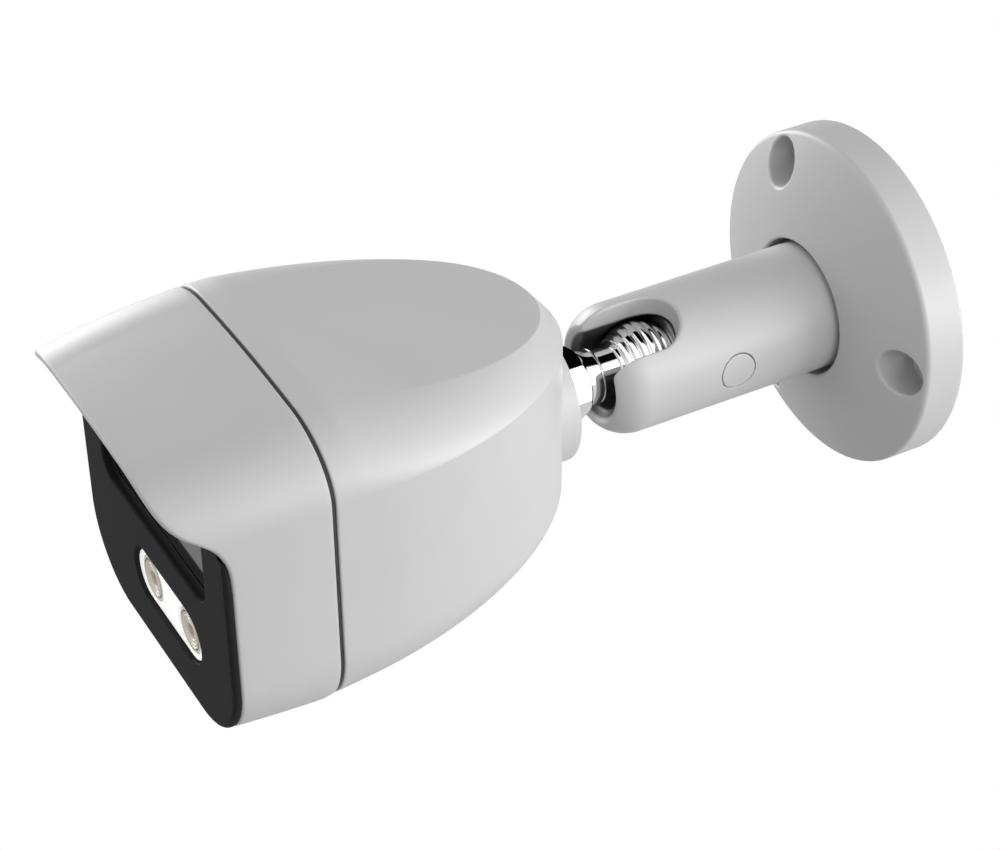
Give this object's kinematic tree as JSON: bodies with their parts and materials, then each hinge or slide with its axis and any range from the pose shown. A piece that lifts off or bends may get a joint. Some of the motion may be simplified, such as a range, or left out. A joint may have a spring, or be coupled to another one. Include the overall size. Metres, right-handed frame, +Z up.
{
  "type": "security camera",
  "caption": "Bullet security camera with a visor and twin lamps, on a ball-jointed arm with a round wall plate held by screws.",
  "frame": {"origin": "centre of the wall plate's back face, where it meets the wall", "axes": "+Z up, the wall is the plane Y = 0, and the arm and camera lie along -Y, so the lens looks along -Y at rest; +X is to the right as seen from behind the camera"},
  "size_m": [0.07, 0.1665, 0.07],
  "materials": {
    "shell_paint": "satin",
    "black_plastic": "satin",
    "seal_rubber": "matte",
    "chrome": "polished",
    "steel": "satin",
    "white_panel": "satin",
    "reflector": "glossy",
    "lamp_die": "glossy",
    "smoked_glass": "glossy",
    "lens_glass": "glossy",
    "filter_glass": "glossy",
    "circuit_board": "satin",
    "board_white": "satin",
    "chip": "matte",
    "brass": "satin",
    "aluminium": "satin",
    "socket_plastic": "satin"
  },
  "bodies": {
    "mount": {"wall_plate": "shell_paint", "swivel_washer": "steel"},
    "arm": {"arm": "shell_paint", "arm_insert": "steel", "swivel_screw": "steel", "clamp_plunger": "steel", "lock_screw": "steel", "lock_screw_plug": "shell_paint"},
    "stud": {"ball_stud": "chrome", "stud_nut": "chrome"},
    "filter": {"ir_filter": "filter_glass"},
    "camera": {"rear_housing": "shell_paint", "housing_seal": "seal_rubber", "front_housing": "shell_paint", "housing_screws": "steel", "stud_o_ring": "seal_rubber", "cable_grommet": "seal_rubber", "face_plate": "black_plastic", "face_screws": "steel", "window_glass": "smoked_glass", "window_seal": "seal_rubber", "lamp_panel": "white_panel", "lamp_reflectors": "reflector", "lamp_emitters": "lamp_die", "lamp_board": "board_white", "lens_barrel": "black_plastic", "lens_front_glass": "lens_glass", "lens_rear_glass": "lens_glass", "lens_lock_ring": "aluminium", "lens_holder": "black_plastic", "image_sensor": "chip", "sensor_board": "circuit_board", "processor": "chip", "main_bracket": "aluminium", "bracket_screws": "steel", "board_posts": "brass", "board_screws": "steel", "power_board": "circuit_board", "cable_socket": "socket_plastic"}
  },
  "joints": [
    {"name": "arm_swivel", "type": "hinge", "parent": "mount", "child": "arm", "pos_m": [0, -0.009, 0], "axis": [0, 1, 0], "range_deg": [-180, 180]},
    {"name": "ball_tilt", "type": "hinge", "parent": "arm", "child": "stud", "pos_m": [0, -0.053, 0], "axis": [-0.9511, 0, 0.309], "range_deg": [0, 90]},
    {"name": "camera_roll", "type": "hinge", "parent": "stud", "child": "camera", "pos_m": [0, -0.0736, 0], "axis": [0, 1, 0], "range_deg": [-180, 180]},
    {"name": "ir_filter_slide", "type": "slide", "parent": "camera", "child": "filter", "axis": [1, 0, 0], "range_m": [0, 0.0054]}
  ]
}
